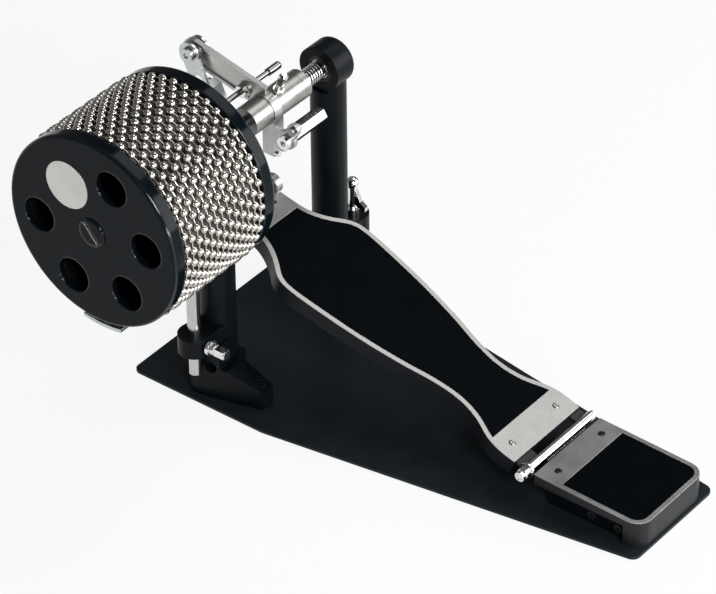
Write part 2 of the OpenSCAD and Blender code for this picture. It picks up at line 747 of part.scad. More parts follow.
// Link: a folded channel between rocker arm and toe pin
web_from = 27;
web_to = 17;
link_hole_s = 19;
module link_side() {
    difference() {
        union() {
            circle(link_w/2 + 1);
            translate([0, -link_w/2]) square([link_len, link_w]);
            translate([link_len, 0]) circle(link_w/2 + 1);
        }
        circle(pivot_d/2 + run);
        translate([link_hole_s, 0]) circle(d = link_hole_d);
        translate([link_len, 0]) circle(toe_pin_d/2 + toe_play);
    }
}
module on_link() {
    translate([pivot[0], pivot[1]]) rotate(link_turn) children();
}
module link() {
    color("#c3c5c7") union() {
        slab_xz(link_near, link_near + link_t) on_link() link_side();
        slab_xz(link_far - link_t, link_far) on_link() link_side();
        slab_xz(link_near, link_far) on_link()
            translate([web_from, link_w/2 - link_t]) square([link_len - web_from - web_to, link_t]);
    }
}
module at_pivot() {
    translate([pivot[0], 0, pivot[1]]) children();
}
module pivot_bolt() {
    color("#b4b6b8") at_pivot() difference() {
        union() {
            rod_y(pivot_d/2, link_near - 0.5, link_far + 3.2);
            rod_y(pivot_d/2 + 2, link_near - 3, link_near - face_gap);
        }
        translate([0, link_near - 3.5, 0]) hex_y(3.5, 0, 2);
    }
}
module pivot_nut() {
    color("#b4b6b8") at_pivot() difference() {
        hex_y(9, link_far + face_gap, link_far + face_gap + 2.4);
        rod_y(pivot_d/2 + fit, link_far, link_far + 4);
    }
}

// Rocker: arm, collars, hub tube and what is clamped on it
arm_rim = 2.2;
arm_sink = 1.2;
arm_lift = 5.3;
arm_dir = [pivot[0], pivot[1] - axle_h - arm_lift];
arm_turn = atan2(arm_dir[1], arm_dir[0]);
arm_span = norm(arm_dir);
hub_seam = -9;
module arm_shape(inset) {
    h = arm_deep/2 - inset;
    translate([0, arm_lift]) rotate(arm_turn) {
        translate([0, -h]) square([arm_span, 2*h]);
        translate([arm_span, 0]) circle(h);
    }
}
module rocker_arm() {
    color("#b9bbbd") at_axle() difference() {
        union() {
            slab_xz(arm_near, arm_face) difference() {
                arm_shape(0);
                translate([0, -hub_d]) square([hub_d, 3*hub_d]);
            }
            rod_y(hub_r + 0.5, hub_seam, arm_face);
        }
        slab_xz(arm_near - 1, arm_near + arm_sink) difference() {
            arm_shape(arm_rim);
            circle(hub_r + 3);
            translate([pivot[0], pivot[1] - axle_h]) circle(pivot_d/2 + 3);
            translate([rod_x, rod_z - axle_h]) circle(drive_rod_d/2 + 3.4);
        }
        rod_y(axle_bore, hub_seam - 1, arm_face + 1);
        translate([rod_x, 0, rod_z - axle_h]) rod_y(drive_rod_d/2 + fit, arm_near - 1, arm_face + 1);
        translate([pivot[0], 0, pivot[1] - axle_h]) rod_y(pivot_d/2 + run, arm_near - 1, arm_face + 1);
    }
}
collar_len = 6;
module near_collar() {
    color("#c6c8ca") at_axle() ring_y(hub_r, axle_bore, hub_near, hub_seam - face_gap);
}
screw_y = 3;
hub_screw_turn = 20;
hub_screw_d = 4;
module at_hub_screw() {
    translate([0, screw_y, axle_h]) rotate([0, hub_screw_turn, 0]) children();
}
module hub_tube() {
    color("#c6c8ca") difference() {
        at_axle() ring_y(hub_r, axle_bore, arm_face + face_gap, hub_far - collar_len - face_gap);
        at_hub_screw() cylinder(d = hub_screw_d + 2*fit, h = hub_d);
    }
}
module end_collar() {
    color("#c6c8ca") at_axle() ring_y(hub_r, axle_bore, hub_far - collar_len, hub_far);
}
module hub_screw() {
    head = 4.6;
    color("#d2d3d5") at_hub_screw() {
        translate([0, 0, axle_d/2 + 2*fit]) cylinder(d = hub_screw_d, h = hub_r + 2);
        translate([0, 0, hub_r + face_gap]) cylinder(d = 7.4, h = 2.2);
        translate([0, 0, hub_r + 2.4]) cylinder(d = 5.4, h = 5);
        translate([-head/2, -head/2, hub_r + 7]) cube([head, head, 7.6]);
        translate([0, 0, hub_r + 14.6]) cylinder(d1 = head + 1, d2 = head - 1, h = 1.6);
    }
}
axle_near = front_face + 1.2;
axle_far = cup_out - 3.6;
module axle_shaft() {
    color("#cfd0d2") at_axle() rod_y(axle_d/2, axle_near, axle_far);
}
module at_drive_rod() {
    translate([rod_x, 0, rod_z]) children();
}
rod_near_end = rear_face - disc_t - 2.4;
rod_far_end = 23;
cap_len = 12;
module drive_rod() {
    color("#8f9193") at_drive_rod() rod_y(drive_rod_d/2, rod_near_end, rod_far_end);
}
nut_t = drive_rod_d;
nut_flats = 2.1*drive_rod_d;
nut_y = [arm_near - face_gap - nut_t, arm_face + face_gap, rear_face + face_gap];
module rod_nuts() {
    color("#d2d3d5") at_drive_rod() for (y = nut_y)
        difference() {
            hex_y(nut_flats, y, y + nut_t);
            rod_y(drive_rod_d/2 + fit, y - 1, y + nut_t + 1);
        }
}
module rod_cap() {
    r = drive_rod_d/2 + 0.8;
    tip_r = 1.6;
    color("#5a5c5e") at_drive_rod() difference() {
        translate([0, rod_far_end - 4, 0]) rotate([-90, 0, 0]) rotate_extrude() {
            square([r, cap_len - tip_r]);
            square([r - tip_r, cap_len]);
            translate([r - tip_r, cap_len - tip_r]) intersection() {
                circle(tip_r);
                square(tip_r);
            }
        }
        rod_y(drive_rod_d/2 + fit, rod_far_end - 5, rod_far_end + fit);
    }
}
bracket_x0 = -6.3;
bracket_x1 = 3.5;
bracket_y0 = arm_face + face_gap;
bracket_y1 = 8;
bracket_low = axle_h - 39;
lug_t = 3;
lug_r = 6.2;
bar_x = 13.8;
bar_z = axle_h - 20;
bar_flats = 9.9;
bar_near = bracket_y0 + lug_t + face_gap;
bar_far = bar_near + 31.3;
bar_screw_z = bar_z - 2;
bar_screw_r = 2;
bar_screw_deep = 9.6;
bar_pin_r = 2.6;
bar_pin_x = bar_x + 4.7;
bar_pin_z = bar_z + 7.7;
lug_arm = [bar_pin_x - bar_x, bar_pin_z - bar_screw_z];
module lug_shape() {
    translate([0, bar_screw_z - lug_r + 0.4]) square([bar_x, 2*lug_r - 0.8]);
    translate([bar_x, bar_screw_z]) {
        circle(lug_r);
        rotate(atan2(lug_arm[1], lug_arm[0])) translate([0, -bar_pin_r - 1.4])
            square([norm(lug_arm), 2*bar_pin_r + 2.8]);
    }
    translate([bar_pin_x, bar_pin_z]) circle(bar_pin_r + 1.8);
}
module hub_bracket() {
    color("#b2b4b6") difference() {
        union() {
            translate([bracket_x0, bracket_y0, bracket_low])
                cube([bracket_x1 - bracket_x0, bracket_y1 - bracket_y0, axle_h - hub_r + 1.5 - bracket_low]);
            slab_xz(bracket_y0, bracket_y0 + lug_t) lug_shape();
        }
        at_axle() rod_y(hub_r + fit, bracket_y0 - 1, bracket_y1 + 1);
        translate([bar_x, 0, bar_screw_z]) rod_y(bar_screw_r + fit, bracket_y0 - 1, bracket_y0 + lug_t + 1);
        translate([bar_pin_x, 0, bar_pin_z]) rod_y(bar_pin_r + fit, bracket_y0 - 1, bracket_y0 + lug_t + 1);
        for (y = bracket_screw_y) translate([0, y, bracket_screw_z])
            rod_x_axis(screw_d/2 + fit, 0, bracket_x1 + 1);
    }
}
bracket_screw_y = [bracket_y0 + 1.6, bracket_y1 - 1.6];
bracket_screw_z = bracket_low + 3;
module bracket_screws() {
    color("#c9cbcd") for (y = bracket_screw_y) translate([0, y, bracket_screw_z]) {
        rod_x_axis(screw_d/2, 0.3, bracket_x1 + 1);
        rod_x_axis(0.7*screw_d, bracket_x1 + fit, bracket_x1 + 3);
    }
}
module hub_bar() {
    color("#e2e3e4") difference() {
        translate([bar_x, 0, bar_z]) hex_y(bar_flats, bar_near, bar_far);
        translate([bar_x, 0, bar_screw_z]) rod_y(bar_screw_r + fit, bar_near - 1, bar_near + bar_screw_deep);
    }
}
module bar_screw() {
    color("#e6e7e8") translate([bar_x, 0, bar_screw_z]) difference() {
        union() {
            rod_y(bar_screw_r, bracket_y0 - 1, bar_near + bar_screw_deep - 0.6);
            rod_y(4.6, bracket_y0 - 4.4, bracket_y0 - fit);
        }
        hex_y(4, bracket_y0 - 5, bracket_y0 - 2.2);
    }
}
module bar_pin() {
    color("#8f9193") translate([bar_pin_x, 0, bar_pin_z]) difference() {
        rod_y(bar_pin_r, bracket_y0 - 2.5, bracket_y0 + 6);
        rod_y(bar_pin_r - 0.8, bracket_y0 + 4.6, bracket_y0 + 7);
    }
}

// Drum: shell, two lidded discs, core tube, slotted cap and badge plate
core_flange = 3;
core_r = 9;
rear_deck = rear_face - disc_t;
front_deck = front_face + disc_t;
module drum_shell() {
    color("#a8aaac") at_axle() ring_y(shell_r, shell_r - shell_wall, front_deck + fit, rear_deck - fit);
}
module disc_profile() {
    r = disc_d/2;
    e = disc_edge_r;
    inner_e = 1;
    difference() {
        union() {
            square([r - e, disc_rim]);
            translate([0, inner_e]) square([r, disc_rim - inner_e - e]);
            translate([r - e, disc_rim - e]) circle(e);
            translate([r - inner_e, inner_e]) circle(inner_e);
        }
        translate([-1, -1]) square([shell_r + fit + 1, disc_rim - disc_t + 1]);
    }
}
module disc_body() {
    translate([0, 0, axle_h]) rotate([90, 0, 0]) rotate_extrude($fn = 96) disc_profile();
}
sound_hole_r = disc_d/2 - hole_in;
badge_r = disc_d/2 - badge_in;
module sound_holes() {
    for (k = [0, 1, 3, 4, 5]) rotate([0, -sound_hole_turn - 60*k, 0])
        translate([sound_hole_r, 0, 0]) rod_y(sound_hole_d/2, front_face - 1, front_deck + 1);
}
module at_badge() {
    rotate([0, -badge_turn, 0]) translate([badge_r, 0, 0]) children();
}
badge_sink = 0.4;
badge_t = 0.7;
cap_sink = 1;
slot_turn = 51;
module front_disc() {
    color("#141517") difference() {
        translate([0, front_inner, 0]) disc_body();
        at_axle() {
            sound_holes();
            rod_y(axle_bore, front_face - 1, front_deck + 1);
            at_badge() rod_y(badge_d/2 + fit, front_face - 1, front_face + badge_sink);
            rod_y(cap_d/2 + fit, front_face - 1, front_face + cap_sink);
        }
    }
}
module rear_disc() {
    color("#141517") difference() {
        translate([0, rear_inner, 0]) mirror([0, 1, 0]) disc_body();
        at_axle() rod_y(axle_bore, rear_inner - 1, rear_face + 1);
        at_drive_rod() rod_y(drive_rod_d/2 + fit, rear_inner - 1, rear_face + 1);
    }
}
module drum_core() {
    color("#8e9092") at_axle() difference() {
        union() {
            rod_y(core_r, front_deck + fit, rear_deck - fit);
            rod_y(core_r + 6, front_deck + fit, front_deck + core_flange);
            rod_y(core_r + 6, rear_deck - core_flange, rear_deck - fit);
        }
        rod_y(axle_bore, front_deck - 1, rear_deck + 1);
    }
}
module centre_cap() {
    color("#1d1e20") at_axle() difference() {
        union() {
            rod_y(cap_d/2, front_face - 0.7, front_face + cap_sink - fit);
            rod_y(cap_d/2 - 1.2, front_face - 1.1, front_face);
        }
        translate([0, front_face - 2, 0]) rotate([0, slot_turn, 0])
            translate([-cap_d, 0, -1.1]) cube([2*cap_d, 1.9, 2.2]);
    }
}
module badge_plate() {
    color("#c9c8c4") at_axle() at_badge() rod_y(badge_d/2, front_face + badge_sink - badge_t - fit,
        front_face + badge_sink - fit);
}
module bead_loops() {
    color("#b5b1a8") for (i = [0:loop_count - 1])
        translate([0, front_inner + loop_pitch*(i + 0.5), axle_h]) rotate([-90, 0, 0])
            rotate_extrude($fn = 96) translate([bead_r, 0]) circle(d = bead_d, $fn = 24);
}

// Presser: a shoe on a rod that is clamped in the near lug and rests the beads
shoe_r = disc_d/2 + bead_proud + shoe_gap;
shoe_low = axle_h - shoe_r - pad_t - shoe_t;
rod_top = shoe_low - 4;
socket_deep = 8;
shoe_near = front_inner - 5;
shoe_far = -lug_y + 8;
module shoe_arc(r0, r1, w) {
    intersection() {
        difference() {
            circle(r1, $fn = 144);
            circle(r0, $fn = 144);
        }
        translate([-w/2, -r1 - 1]) square([w, r1]);
    }
}
module presser_rod() {
    color("#e4e5e6") translate([0, -lug_y, rod_low]) cylinder(d = rod_d, h = shoe_low - rod_low);
}
module presser_shoe() {
    socket_top = shoe_low + 0.4;
    color("#77797c") difference() {
        union() {
            at_axle() slab_xz(shoe_near, shoe_far) shoe_arc(shoe_r + pad_t, shoe_r + pad_t + shoe_t, shoe_w);
            translate([0, -lug_y, rod_top - socket_deep])
                cylinder(d = rod_d + 5, h = socket_top - rod_top + socket_deep);
        }
        translate([0, -lug_y, rod_top - socket_deep - 1])
            cylinder(d = rod_d + 2*fit, h = shoe_low - rod_top + socket_deep + 1 + fit);
        translate([0, -lug_y, rod_top - 4]) rod_x_axis(screw_d/2 + fit, 0, rod_d);
    }
}
module shoe_pad() {
    color("#2a2a2c") at_axle() slab_xz(front_inner + 1.5, rear_inner - 1.5)
        shoe_arc(shoe_r, shoe_r + pad_t - fit, shoe_w - 1);
}
module shoe_screw() {
    color("#c9cbcd") translate([0, -lug_y, rod_top - 4]) {
        rod_x_axis(screw_d/2, rod_d/2 + fit, rod_d/2 + 3);
        rod_x_axis(0.8*screw_d, rod_d/2 + 2.5 + 3*fit, rod_d/2 + 4.6);
    }
}
module clamp_screw() {
    head = 5.4;
    seat = boss_d/2 + 1.4;
    color("#d6d7d8") translate([0, -lug_y, clamp_z]) {
        rod_x_axis(clamp_d/2, rod_d/2 + 2*run, seat + 9);
        rod_x_axis(5.2, seat, seat + 2.4);
        rod_x_axis(3.7, seat + 2.4, seat + 5.4);
        translate([seat + 5.4, -head/2, -head/2]) cube([8, head, head]);
        translate([seat + 13.4, 0, 0]) rod_x_axis(head/2 + 0.5, 0, 1.2);
    }
}
wing_ball_z = boss_top + 4*wing_bolt_d;
wing_ball_d = 1.5*wing_bolt_d;
wing_reach = lug_out - post_d/2 - 0.9;
wing_seat = boss_top + 5.4;
module wing_bolt() {
    fin = [[wing_bolt_d/2, wing_ball_z - 3.5], [0.6*wing_reach, (wing_ball_z + wing_seat)/2 - 3],
        [wing_reach, wing_seat + 3], [wing_reach - 0.4, wing_seat], [wing_reach - 3, wing_seat],
        [wing_bolt_d/3, wing_seat + 3]];
    color("#d6d7d8") translate([0, lug_y, 0]) {
        translate([0, 0, boss_low - 6]) cylinder(d = wing_bolt_d, h = wing_ball_z - boss_low + 6);
        translate([0, 0, boss_top + face_gap]) cylinder(d = wing_bolt_d + 4, h = 4.4);
        translate([0, 0, wing_ball_z]) sphere(d = wing_ball_d);
        slab_xz(-1.5, 1.5) polygon(concat(fin, [for (i = [len(fin) - 1:-1:0]) [-fin[i][0], fin[i][1]]]));
    }
}

base_plate();
plate_screws();
near_foot();
far_foot();
foot_screws();
near_post();
far_post();
axle_bearings();
return_spring();
heel_block();
heel_riser();
heel_screws();
heel_grip();
heel_pins();
heel_leaf();
hinge_pin();
hinge_washer();
hinge_nut();
footboard();
board_grip();
board_pins();
board_leaf();
toe_pin();
toe_clips();
toe_spacers();
link();
pivot_bolt();
pivot_nut();
rocker_arm();
near_collar();
hub_tube();
end_collar();
hub_screw();
axle_shaft();
drive_rod();
rod_nuts();
rod_cap();
hub_bracket();
hub_bar();
bar_screw();
bar_pin();
bracket_screws();
drum_shell();
front_disc();
rear_disc();
drum_core();
centre_cap();
badge_plate();
bead_loops();
presser_rod();
presser_shoe();
shoe_pad();
shoe_screw();
clamp_screw();
wing_bolt();
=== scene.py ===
"""Looks of the foot cabasa: camera, studio, materials, ball chains, spring and felt pad."""

import math

import bmesh
import bpy
from mathutils import Matrix, Vector


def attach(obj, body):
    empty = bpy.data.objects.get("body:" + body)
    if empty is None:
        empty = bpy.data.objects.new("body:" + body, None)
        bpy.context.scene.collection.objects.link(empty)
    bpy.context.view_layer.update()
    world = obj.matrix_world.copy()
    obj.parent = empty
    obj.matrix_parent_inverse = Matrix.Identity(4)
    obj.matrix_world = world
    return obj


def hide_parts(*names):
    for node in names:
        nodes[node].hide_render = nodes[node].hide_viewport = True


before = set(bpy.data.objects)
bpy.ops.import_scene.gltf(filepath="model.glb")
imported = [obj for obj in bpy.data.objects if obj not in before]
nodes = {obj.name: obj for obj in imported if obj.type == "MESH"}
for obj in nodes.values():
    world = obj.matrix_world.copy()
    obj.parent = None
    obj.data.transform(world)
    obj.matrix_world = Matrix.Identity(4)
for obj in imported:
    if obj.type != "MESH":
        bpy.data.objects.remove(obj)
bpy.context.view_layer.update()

MM = 0.001


# Camera: the photograph's viewpoint, in metres, and its angles in degrees
CAMERA_AT = Vector((1.4626, -1.7751, 1.7587))
CAMERA_AZIMUTH = 38.14
CAMERA_ELEVATION = 36.87
CAMERA_ROLL = -0.60
LENS_MM = 220.1
SENSOR_MM = 36


def place_camera():
    azimuth, elevation, roll = map(math.radians, (CAMERA_AZIMUTH, CAMERA_ELEVATION, CAMERA_ROLL))
    away = math.cos(elevation)
    back = Vector((math.sin(azimuth) * away, -math.cos(azimuth) * away, math.sin(elevation)))
    level = Vector((math.cos(azimuth), math.sin(azimuth), 0))
    upright = back.cross(level)
    right = math.cos(roll) * level + math.sin(roll) * upright
    up = back.cross(right)
    data = bpy.data.cameras.new("camera")
    data.lens, data.sensor_width = LENS_MM, SENSOR_MM
    data.clip_start, data.clip_end = 0.1, 20
    camera = bpy.data.objects.new("camera", data)
    camera.matrix_world = Matrix.Translation(CAMERA_AT) @ Matrix((right, up, back)).transposed().to_4x4()
    bpy.context.collection.objects.link(camera)
    bpy.context.scene.camera = camera


place_camera()


# Height of the axle over the floor, in mm
AXLE_Z = 188.2


# Materials
def linear(code):
    """Linear RGBA of an sRGB hex colour."""
    parts = [int(code[i : i + 2], 16) / 255 for i in (1, 3, 5)]
    return [c / 12.92 if c <= 0.04045 else ((c + 0.055) / 1.055) ** 2.4 for c in parts] + [1]


def add(tree, kind, links=None, **settings):
    """Adds a node. A setting names a property or an input, and links maps inputs to (node, output)."""
    new = tree.nodes.new(kind)
    for name, value in settings.items():
        if hasattr(new, name):
            setattr(new, name, value)
        else:
            new.inputs[name.replace("_", " ")].default_value = value
    for name, (source, output) in (links or {}).items():
        tree.links.new(source.outputs[output], new.inputs[name])
    return new


def per(size_mm):
    """Texture scale for features of a size in millimetres."""
    return 1 / (size_mm * MM)


# The sum of two noises over which a surface goes from dark to light, and from its least to its most roughness
TONE_SPAN = (0.75, 1.25)
SHEEN_SPAN = (0.7, 1.3)


def surface(name, dark, light, metallic, roughness, grain_mm, bump_mm, stretch=(1, 1, 1), patch_mm=18,
            edge_mm=0.25, ior=None, gloss=0.5):
    """A material with colour that drifts in patches, grain in its roughness and bump, and softened edges.

    dark and light are the ends of its colour, roughness is its (least, most), stretch draws the grain out.
    """
    made = bpy.data.materials.new(name)
    made.use_nodes = True
    tree = made.node_tree
    shader = tree.nodes["Principled BSDF"]
    shader.inputs["Metallic"].default_value = metallic
    if ior:
        shader.inputs["IOR"].default_value = ior
    shader.inputs["Specular IOR Level"].default_value = gloss
    place = add(tree, "ShaderNodeTexCoord")
    drawn = add(tree, "ShaderNodeMapping", {"Vector": (place, "Object")}, Scale=stretch)
    patches = add(tree, "ShaderNodeTexNoise", {"Vector": (place, "Object")}, Scale=per(patch_mm), Detail=3)
    grain = add(tree, "ShaderNodeTexNoise", {"Vector": (drawn, "Vector")}, Scale=per(grain_mm), Detail=4)
    both = add(tree, "ShaderNodeMath", {0: (patches, "Fac"), 1: (grain, "Fac")}, operation="ADD")
    tone = add(tree, "ShaderNodeMapRange", {"Value": (both, "Value")}, From_Min=TONE_SPAN[0],
               From_Max=TONE_SPAN[1])
    colour = add(tree, "ShaderNodeMix", {0: (tone, "Result")}, data_type="RGBA")
    colour.inputs[6].default_value, colour.inputs[7].default_value = linear(dark), linear(light)
    tree.links.new(colour.outputs[2], shader.inputs["Base Color"])
    sheen = add(tree, "ShaderNodeMapRange", {"Value": (both, "Value")}, From_Min=SHEEN_SPAN[0],
                From_Max=SHEEN_SPAN[1], To_Min=roughness[0], To_Max=roughness[1])
    tree.links.new(sheen.outputs["Result"], shader.inputs["Roughness"])
    edge = add(tree, "ShaderNodeBevel", samples=4, Radius=edge_mm * MM)
    bump = add(tree, "ShaderNodeBump", {"Height": (grain, "Fac"), "Normal": (edge, "Normal")},
               Distance=bump_mm * MM, Strength=1)
    tree.links.new(bump.outputs["Normal"], shader.inputs["Normal"])
    return made


# A coat of paint on a casting, and how far under the ground top face it stops, in mm
PAINT_IOR = 1.5
COAT_ROUGHNESS = 0.38
COAT_LINE = 0.35


def bare_top(material, coat, gloss, tilt, at):
    """Lets a coat cover a ground casting everywhere but on its top plane.

    The plane leans by tilt, in degrees, and passes through the point at.
    """
    tree = material.node_tree
    lean = math.radians(tilt)
    plane = Vector((math.sin(lean), 0, math.cos(lean)))
    bare = tree.nodes["Principled BSDF"]
    skin = add(tree, "ShaderNodeBsdfPrincipled", Base_Color=linear(coat), Roughness=COAT_ROUGHNESS,
               IOR=PAINT_IOR)
    skin.inputs["Specular IOR Level"].default_value = gloss
    place = add(tree, "ShaderNodeTexCoord")
    height = add(tree, "ShaderNodeVectorMath", {0: (place, "Object")}, operation="DOT_PRODUCT")
    height.inputs[1].default_value = plane
    top = add(tree, "ShaderNodeMath", {0: (height, "Value")}, operation="GREATER_THAN")
    top.inputs[1].default_value = plane.dot(Vector(at) * MM) - COAT_LINE * MM
    mixed = add(tree, "ShaderNodeMixShader", {0: (top, "Value"), 1: (skin, "BSDF"), 2: (bare, "BSDF")})
    tree.links.new(mixed.outputs["Shader"], tree.nodes["Material Output"].inputs["Surface"])


# The black outside a radius on metal, duller than the coat of the castings: a bearing's rubber seal, and
# painted shade on the hinge leaves
SEAL_AND_SHADE_ROUGHNESS = 0.5


def blackened(material, coat, radius_mm, centre):
    """Blackens a metal outside a radius about the line along Y through centre."""
    tree = material.node_tree
    bright = tree.nodes["Principled BSDF"]
    black = add(tree, "ShaderNodeBsdfPrincipled", Base_Color=linear(coat), Roughness=SEAL_AND_SHADE_ROUGHNESS,
                IOR=PAINT_IOR)
    place = add(tree, "ShaderNodeTexCoord")
    across = add(tree, "ShaderNodeVectorMath", {0: (place, "Object")}, operation="SUBTRACT")
    across.inputs[1].default_value = Vector(centre) * MM
    flat = add(tree, "ShaderNodeVectorMath", {0: (across, "Vector")}, operation="MULTIPLY")
    flat.inputs[1].default_value = (1, 0, 1)
    away = add(tree, "ShaderNodeVectorMath", {0: (flat, "Vector")}, operation="LENGTH")
    outside = add(tree, "ShaderNodeMath", {0: (away, "Value")}, operation="GREATER_THAN")
    outside.inputs[1].default_value = radius_mm * MM
    mixed = add(tree, "ShaderNodeMixShader",
                {0: (outside, "Value"), 1: (bright, "BSDF"), 2: (black, "BSDF")})
    tree.links.new(mixed.outputs["Shader"], tree.nodes["Material Output"].inputs["Surface"])


# The share of a normal that points along Y: where a rim ends, and where a face begins, each to the full edge
RIM_ENDS = (0.2, 0.45)
FACE_BEGINS = (0.92, 0.6)


def polished_edges(material, gloss):
    """Gives a moulding's rounded edges, which lean about halfway to Y, more gloss than its faces and rims."""
    tree = material.node_tree
    shader = tree.nodes["Principled BSDF"]
    facing = add(tree, "ShaderNodeSeparateXYZ", {"Vector": (tree.nodes["Bevel"], "Normal")})
    along = add(tree, "ShaderNodeMath", {0: (facing, "Y")}, operation="ABSOLUTE")
    from_rim = add(tree, "ShaderNodeMapRange", {"Value": (along, "Value")}, From_Min=RIM_ENDS[0],
                   From_Max=RIM_ENDS[1])
    from_face = add(tree, "ShaderNodeMapRange", {"Value": (along, "Value")}, From_Min=FACE_BEGINS[0],
                    From_Max=FACE_BEGINS[1])
    rounded = add(tree, "ShaderNodeMath", {0: (from_rim, "Result"), 1: (from_face, "Result")},
                  operation="MINIMUM")
    level = add(tree, "ShaderNodeMapRange", {"Value": (rounded, "Value")},
                To_Min=shader.inputs["Specular IOR Level"].default_value, To_Max=gloss)
    tree.links.new(level.outputs["Result"], shader.inputs["Specular IOR Level"])


# Powder-coated sheet steel: a black film with a faint orange peel and a wide, soft shine
powder_coat = surface("powder_coated_steel", "#181d20", "#1e2327", 0, (0.3, 0.38), 0.9, 0.004,
                      ior=PAINT_IOR, edge_mm=0.5, gloss=0.12)
# Enamelled aluminium casting: satin black, a little rougher than the sheet, with soft corners
enamel = surface("enamelled_casting", "#05090c", "#090d11", 0, (0.34, 0.44), 0.7, 0.01,
                 ior=PAINT_IOR, edge_mm=0.6, gloss=0.1)
# Moulded ABS: even blue-black with a smooth skin and well rounded edges
moulded_abs = surface("moulded_abs", "#040a10", "#080f15", 0, (0.08, 0.12), 0.5, 0.0004,
                      ior=1.53, edge_mm=1.8, gloss=0.085)
# Black oxide on steel: nearly matt, dark blue-grey
black_oxide = surface("black_oxide_steel", "#1d1f22", "#2c2e31", 0.8, (0.35, 0.5), 0.4, 0.004)
# Moulded nitrile rubber: matt black with a fine grain that keeps a shoe from slipping
rubber = surface("moulded_rubber", "#030507", "#05080b", 0, (0.5, 0.6), 0.45, 0.02, ior=1.5, gloss=0.02)
# Chrome plate: a mirror with the slight waviness of buffed steel
chrome = surface("chrome_plate", "#d9d9d7", "#e6e6e4", 1, (0.06, 0.12), 1.2, 0.001)
# The same plate on the hinge, worn a little duller
hinge_plate = surface("hinge_plate", "#cdcdcb", "#dcdcda", 1, (0.1, 0.18), 1.2, 0.001)
# Satin chrome of the presser rod, dulled where it slides in its clamp
satin_chrome = surface("satin_chrome", "#b3b3b1", "#c6c6c4", 1, (0.14, 0.24), 0.8, 0.002, stretch=(1, 1, 0.1))
# Dark chrome on the threaded rod, its cap, the hexagonal bar and the small pins
dark_chrome = surface("dark_chrome", "#77787a", "#8c8d8f", 1, (0.1, 0.16), 1.2, 0.001)
# Turned aluminium: rings left by the tool run round the axle and spread the highlight
turned = surface("turned_aluminium", "#908f8c", "#a5a4a1", 1, (0.3, 0.36), 0.7, 0.001,
                 stretch=(0.06, 1, 0.06))
# Sand-cast aluminium: grey with a pebbled skin
cast_aluminium = surface("cast_aluminium", "#b0afac", "#c3c2bf", 1, (0.32, 0.44), 0.9, 0.02)
# Brushed steel of the folded bracket, darkened by the belt
brushed_steel = surface("brushed_steel", "#97989a", "#b9babb", 1, (0.26, 0.4), 1.4, 0.01,
                        stretch=(1, 1, 0.06))
# Ground steel of the axle, dull grey so that the spring stands out on it
ground_steel = surface("ground_steel", "#3f4042", "#515254", 1, (0.22, 0.32), 0.6, 0.002)
# Zinc plate on folded steel: bluish, brighter than the casting
zinc = surface("zinc_plated_steel", "#b4b7b9", "#cdd0d1", 1, (0.22, 0.34), 1.5, 0.004)
# Dull zinc on the drum's wall, its colour darkened as painted shade, since it is seen only as the shaded
# ground between the balls
shade_darkened_zinc = surface("zinc_sheet_with_painted_shade", "#4d4c4a", "#5f5e5c", 1, (0.4, 0.5), 1.5, 0.004)
# Ground aluminium of the footboard: cloudy, with short marks of the belt along the board
ground = surface("ground_aluminium", "#9f9e9b", "#b7b6b3", 1, (0.34, 0.5), 0.6, 0.012,
                 stretch=(0.25, 1, 0.25))
# Grey anodised casting of the heel
anodised = surface("grey_anodised_casting", "#a5a4a2", "#b6b5b3", 1, (0.3, 0.42), 0.6, 0.01,
                   stretch=(0.3, 1, 0.3))
# Nickel-plated steel balls: bright and slightly warm
nickel = surface("nickel_plated_steel", "#b1ada6", "#cac6bf", 1, (0.13, 0.2), 2, 0, patch_mm=9, edge_mm=0)
# Spring steel wire, bright drawn
spring_steel = surface("spring_steel", "#cfcfcd", "#e2e2e0", 1, (0.1, 0.18), 0.6, 0.001, edge_mm=0)
# Brushed tinplate of the round badge plate, left bare
badge_metal = surface("brushed_tinplate", "#c2c1bd", "#d3d2cf", 1, (0.34, 0.44), 0.25, 0.002,
                      stretch=(0.08, 1, 1))
# Ball bearings: bright inner ring inside a black rubber seal
bearing_steel = surface("bearing_steel", "#8d8e90", "#a4a5a6", 1, (0.14, 0.22), 0.8, 0.001)
# Wool felt on the shoe
felt = surface("wool_felt", "#1c1c1e", "#2a2a2d", 0, (0.9, 1), 0.6, 0.12, ior=1.4)

# The discs' edges are polished, so that the lamps draw a bright line on them
polished_edges(moulded_abs, 0.5)

# The ground top faces of the footboard and the heel: slope in degrees and a point of each, in mm
BOARD_SLOPE, BOARD_TOP_AT = 18.84, (219.7, 0, 25.8)
HEEL_SLOPE, HEEL_TOP_AT = 1.9, (235.4, 0, 24)
bare_top(ground, "#13161a", 0.1, BOARD_SLOPE, BOARD_TOP_AT)
bare_top(anodised, "#17181a", 0.25, HEEL_SLOPE, HEEL_TOP_AT)

# The bearing's seal begins just outside its inner ring
SEAL_R = 6.8
blackened(bearing_steel, "#0b0c0d", SEAL_R, (0, 0, AXLE_Z))

# The hinge leaves are coloured near-black as painted shade of the dark gap between board and heel; their
# knuckles are plated
KNUCKLE_R, HINGE_AT = 3.6, (228.4, 0, 22)
blackened(hinge_plate, "#0b0c0d", KNUCKLE_R, HINGE_AT)

